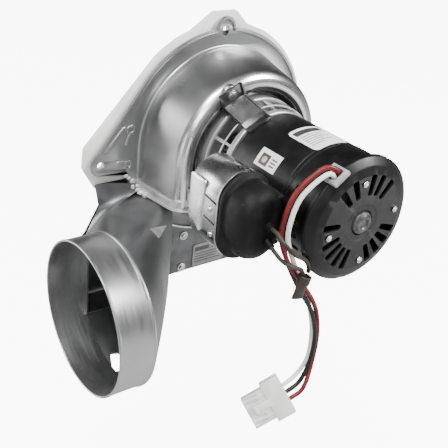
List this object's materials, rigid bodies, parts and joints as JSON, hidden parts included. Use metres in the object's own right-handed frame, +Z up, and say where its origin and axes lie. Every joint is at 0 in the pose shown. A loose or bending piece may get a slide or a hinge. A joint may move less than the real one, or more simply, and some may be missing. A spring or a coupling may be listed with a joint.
{
  "type": "furnace draft inducer fan",
  "caption": "Motor-driven combustion fan: a drawn scroll housing with gasketed flange, a discharge elbow with a round flue collar, a run capacitor and a plug-in lead set.",
  "frame": {"origin": "where the motor shaft's axis meets the furnace face of the mounting gasket", "axes": "+Y along the shaft into the furnace, so the motor points to -Y; +Z up; +X to the right of someone facing the fan, so the flue collar opens to -X"},
  "size_m": [0.2171, 0.1605, 0.2336],
  "materials": {
    "housing_steel": "satin, drawn aluminised sheet",
    "elbow_aluminium": "satin, formed sheet",
    "collar_aluminium": "brushed",
    "wheel_aluminium": "plain sheet",
    "zinc_plate": "bright zinc plated",
    "shaft_steel": "ground",
    "black_paint": "satin black enamel",
    "black_rubber": "satin moulded",
    "gasket_fibre": "matt pressed fibre",
    "label_foil": "satin film",
    "label_white": "satin film",
    "core_steel": "laminated",
    "winding_copper": "enamelled copper wire",
    "bearing_bronze": "sintered",
    "nylon": "natural nylon, slightly see-through",
    "grommet_plastic": "moulded",
    "red_insulation": "wire insulation",
    "white_insulation": "wire insulation",
    "black_insulation": "wire insulation",
    "brown_insulation": "wire insulation"
  },
  "bodies": {
    "root": {"approval_sticker": "label_white", "back_plate": "housing_steel", "black_lead": "black_insulation", "blower_housing": "housing_steel", "capacitor_boot": "black_rubber", "capacitor_bracket": "zinc_plate", "capacitor_can": "collar_aluminium", "capacitor_lead_1": "brown_insulation", "capacitor_lead_2": "brown_insulation", "capacitor_terminal_1": "zinc_plate", "capacitor_terminal_2": "zinc_plate", "connector_housing": "nylon", "connector_pin_1": "zinc_plate", "connector_pin_2": "zinc_plate", "connector_pin_3": "zinc_plate", "elbow_flange": "elbow_aluminium", "elbow_screw_1": "zinc_plate", "elbow_screw_2": "zinc_plate", "front_bearing": "bearing_bronze", "front_bell": "zinc_plate", "front_winding": "winding_copper", "housing_label": "label_foil", "lead_grommet": "grommet_plastic", "leg_screw_1": "zinc_plate", "leg_screw_2": "zinc_plate", "leg_screw_3": "zinc_plate", "motor_leg_1": "zinc_plate", "motor_leg_2": "zinc_plate", "motor_leg_3": "zinc_plate", "motor_shell": "black_paint", "mounting_gasket": "gasket_fibre", "outlet_collar": "collar_aluminium", "outlet_elbow": "elbow_aluminium", "rating_label": "label_white", "rear_bearing": "bearing_bronze", "rear_bell": "black_paint", "rear_hub_cap": "shaft_steel", "rear_winding": "winding_copper", "red_lead": "red_insulation", "shaft_seal": "black_rubber", "splice_cap": "brown_insulation", "stator_core": "core_steel", "through_bolt_1": "zinc_plate", "through_bolt_2": "zinc_plate", "through_bolt_3": "zinc_plate", "through_bolt_4": "zinc_plate", "white_lead": "white_insulation"},
    "rotor": {"motor_shaft": "shaft_steel", "impeller_hub": "shaft_steel", "hub_set_screw": "shaft_steel", "impeller": "wheel_aluminium", "rotor_core": "core_steel", "cooling_fan": "wheel_aluminium"}
  },
  "joints": [
    {"name": "rotor_spin", "type": "hinge", "parent": "root", "child": "rotor", "pos_m": [0, 0, 0], "axis": [0, -1, 0], "continuous": true}
  ]
}
